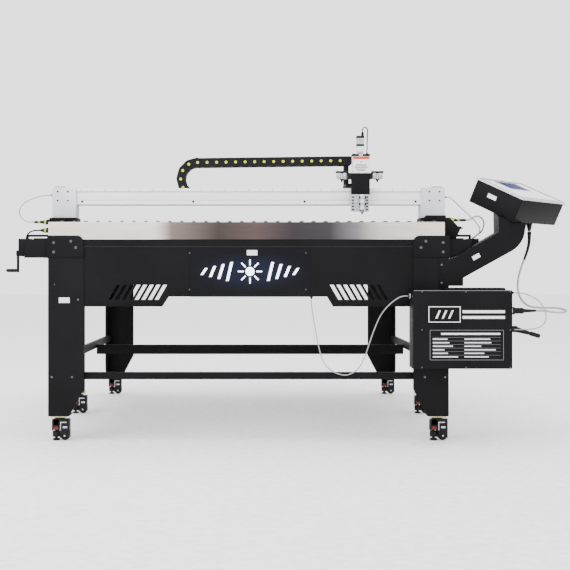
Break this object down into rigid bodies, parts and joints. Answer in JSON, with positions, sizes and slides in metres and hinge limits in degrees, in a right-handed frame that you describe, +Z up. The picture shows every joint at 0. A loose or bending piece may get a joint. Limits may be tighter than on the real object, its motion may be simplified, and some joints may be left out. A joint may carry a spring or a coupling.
{
  "type": "plasma cutting table",
  "caption": "CNC plasma cutting table with a slat bed over a water tray, travelling gantry, torch head on a drag chain, and an operator console on an arm.",
  "frame": {"origin": "centre of the whole machine's footprint, on the floor", "axes": "+X to the operator's right along the longest side, +Y away from the operator, +Z up"},
  "size_m": [2.6234, 1.927, 1.4255],
  "materials": {
    "black_coat": "fine texture powder coat",
    "stainless": "brushed",
    "slat_steel": "mill finish",
    "rail_steel": "ground",
    "fastener_steel": "black oxide",
    "zinc": "yellow zinc plate",
    "beam_aluminium": "satin anodised",
    "pillar_aluminium": "satin anodised",
    "sign_light": "lit acrylic",
    "screen": "glossy",
    "white_panel": "satin",
    "black_plastic": "matte",
    "chain_plastic": "semi matte",
    "brass": "satin",
    "caster_black": "matte",
    "rubber": "matte",
    "cable_grey": "matte",
    "cable_black": "matte"
  },
  "bodies": {
    "root": {"legs": "black_coat", "corner_brackets": "black_coat", "front_panel": "black_coat", "rear_side_panels": "black_coat", "tray": "stainless", "slats": "slat_steel", "stretchers": "black_coat", "sign_box": "sign_light", "y_rails": "rail_steel", "cable_troughs": "black_coat", "control_case": "black_coat", "control_cover": "black_coat", "console_arm": "black_coat", "console_case": "black_coat", "console_panel": "white_panel", "console_screen": "screen", "fasteners": "fastener_steel", "caster_plates": "zinc", "glands": "black_plastic", "sign_cable": "cable_grey", "console_cable": "cable_grey", "box_jumper": "cable_grey"},
    "gantry": {"gantry_beam": "beam_aluminium", "gantry_pillars": "pillar_aluminium", "saddles": "black_coat", "y_motors": "black_plastic", "x_rails": "rail_steel", "chain_tray": "black_coat", "chain_lower": "chain_plastic", "gantry_fittings": "black_plastic", "left_loop_cable": "cable_grey", "left_trough_cable": "cable_black", "right_pillar_cable": "cable_grey", "right_plug_cable": "cable_black"},
    "carriage": {"x_carriage": "black_coat", "z_housing": "pillar_aluminium", "z_cover": "white_panel", "z_motor": "black_plastic", "wing_motors": "rail_steel", "chain_upper": "chain_plastic", "motor_cable": "cable_black"},
    "torch_slide": {"torch_plate": "beam_aluminium", "torch_body": "rail_steel", "torch_nozzle": "brass"},
    "chain_loop_a": {"chain_bend_upper": "chain_plastic"},
    "chain_loop_b": {"chain_bend_lower": "chain_plastic"},
    "crank": {"crank_arm": "black_coat"},
    "grip": {"crank_grip": "black_plastic"},
    "swivel_1": {"caster_1": "caster_black"},
    "roller_1": {"wheel_1": "rubber"},
    "swivel_2": {"caster_2": "caster_black"},
    "roller_2": {"wheel_2": "rubber"},
    "swivel_3": {"caster_3": "caster_black"},
    "roller_3": {"wheel_3": "rubber"},
    "swivel_4": {"caster_4": "caster_black"},
    "roller_4": {"wheel_4": "rubber"},
    "swivel_5": {"caster_5": "caster_black"},
    "roller_5": {"wheel_5": "rubber"},
    "swivel_6": {"caster_6": "caster_black"},
    "roller_6": {"wheel_6": "rubber"}
  },
  "joints": [
    {"name": "gantry_slide", "type": "slide", "parent": "root", "child": "gantry", "axis": [0, 1, 0], "range_m": [0, 1.48]},
    {"name": "carriage_slide", "type": "slide", "parent": "gantry", "child": "carriage", "axis": [1, 0, 0], "range_m": [-1.25, 0.23], "deforming": ["chain_upper", "chain_lower"]},
    {"name": "torch_height", "type": "slide", "parent": "carriage", "child": "torch_slide", "axis": [0, 0, 1], "range_m": [-0.025, 0.05]},
    {"name": "chain_roll_a", "type": "slide", "parent": "carriage", "child": "chain_loop_a", "axis": [1, 0, 0], "range_m": [-0.13, 0.65]},
    {"name": "chain_roll_b", "type": "slide", "parent": "gantry", "child": "chain_loop_b", "axis": [1, 0, 0], "range_m": [-0.65, 0.13]},
    {"name": "crank_turn", "type": "hinge", "parent": "root", "child": "crank", "pos_m": [-1.24632, -0.664, 0.85], "axis": [1, 0, 0], "continuous": true},
    {"name": "grip_spin", "type": "hinge", "parent": "crank", "child": "grip", "pos_m": [-1.28432, -0.664, 0.769], "axis": [1, 0, 0], "continuous": true},
    {"name": "caster_swivel_1", "type": "hinge", "parent": "root", "child": "swivel_1", "pos_m": [-1.03432, -0.799, 0.1], "axis": [0, 0, 1], "continuous": true},
    {"name": "wheel_spin_1", "type": "hinge", "parent": "swivel_1", "child": "roller_1", "pos_m": [-1.01032, -0.799, 0.021], "axis": [0, 1, 0], "continuous": true},
    {"name": "caster_swivel_2", "type": "hinge", "parent": "root", "child": "swivel_2", "pos_m": [0.67568, -0.799, 0.1], "axis": [0, 0, 1], "continuous": true},
    {"name": "wheel_spin_2", "type": "hinge", "parent": "swivel_2", "child": "roller_2", "pos_m": [0.69968, -0.799, 0.021], "axis": [0, 1, 0], "continuous": true},
    {"name": "caster_swivel_3", "type": "hinge", "parent": "root", "child": "swivel_3", "pos_m": [-1.10332, 0.056, 0.1], "axis": [0, 0, 1], "continuous": true},
    {"name": "wheel_spin_3", "type": "hinge", "parent": "swivel_3", "child": "roller_3", "pos_m": [-1.07932, 0.056, 0.021], "axis": [0, 1, 0], "continuous": true},
    {"name": "caster_swivel_4", "type": "hinge", "parent": "root", "child": "swivel_4", "pos_m": [0.74468, 0.056, 0.1], "axis": [0, 0, 1], "continuous": true},
    {"name": "wheel_spin_4", "type": "hinge", "parent": "swivel_4", "child": "roller_4", "pos_m": [0.76868, 0.056, 0.021], "axis": [0, 1, 0], "continuous": true},
    {"name": "caster_swivel_5", "type": "hinge", "parent": "root", "child": "swivel_5", "pos_m": [-1.03432, 0.911, 0.1], "axis": [0, 0, 1], "continuous": true},
    {"name": "wheel_spin_5", "type": "hinge", "parent": "swivel_5", "child": "roller_5", "pos_m": [-1.01032, 0.911, 0.021], "axis": [0, 1, 0], "continuous": true},
    {"name": "caster_swivel_6", "type": "hinge", "parent": "root", "child": "swivel_6", "pos_m": [0.67568, 0.911, 0.1], "axis": [0, 0, 1], "continuous": true},
    {"name": "wheel_spin_6", "type": "hinge", "parent": "swivel_6", "child": "roller_6", "pos_m": [0.69968, 0.911, 0.021], "axis": [0, 1, 0], "continuous": true}
  ],
  "couplings": [
    {"joint": "chain_roll_a", "follows": "carriage_slide", "ratio": -0.5},
    {"joint": "chain_roll_b", "follows": "carriage_slide", "ratio": 0.5}
  ]
}
